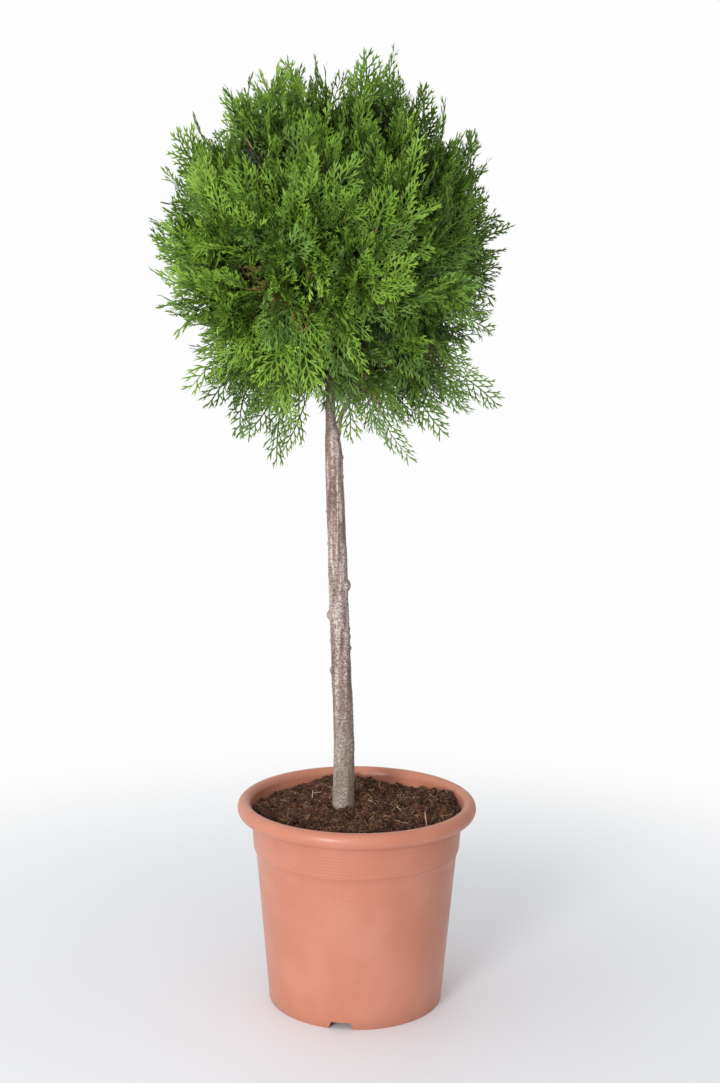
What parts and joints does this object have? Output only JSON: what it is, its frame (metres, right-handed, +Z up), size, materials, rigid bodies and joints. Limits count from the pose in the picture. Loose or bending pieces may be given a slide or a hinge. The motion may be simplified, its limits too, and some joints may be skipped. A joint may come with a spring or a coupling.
{
  "type": "potted arborvitae",
  "caption": "Evergreen arborvitae grown as a half-standard: a ball of flat green sprays on a bare stem, in a terracotta-coloured plastic nursery pot of soil.",
  "frame": {"origin": "centre of the pot's underside, on the surface that it stands on", "axes": "+Z up along the plant; -Y towards the side of the picture's camera; +X to its right"},
  "size_m": [0.4081, 0.3644, 1.0876],
  "materials": {
    "pot": "satin moulded plastic, terracotta-coloured, faint horizontal ridges",
    "soil": "loose dark brown potting mix with fibres and bark crumbs",
    "bark": "thin grey-pink bark with fine cross bands and small knots",
    "foliage": "soft matt scale leaves in flat sprays, bright green at the tips"
  },
  "bodies": {
    "root": {"pot": "pot", "soil": "soil", "trunk": "bark", "bough_upper_1": "bark", "bough_upper_2": "bark", "bough_upper_3": "bark", "bough_upper_4": "bark", "bough_middle_1": "bark", "bough_middle_2": "bark", "bough_middle_3": "bark", "bough_middle_4": "bark", "bough_middle_5": "bark", "bough_middle_6": "bark", "bough_lower_1": "bark", "bough_lower_2": "bark", "bough_lower_3": "bark", "bough_lower_4": "bark", "bough_lower_5": "bark", "foliage_top": "foliage", "foliage_upper_1": "foliage", "foliage_upper_2": "foliage", "foliage_upper_3": "foliage", "foliage_upper_4": "foliage", "foliage_middle_1": "foliage", "foliage_middle_2": "foliage", "foliage_middle_3": "foliage", "foliage_middle_4": "foliage", "foliage_middle_5": "foliage", "foliage_middle_6": "foliage", "foliage_lower_1": "foliage", "foliage_lower_2": "foliage", "foliage_lower_3": "foliage", "foliage_lower_4": "foliage", "foliage_lower_5": "foliage"}
  },
  "joints": []
}
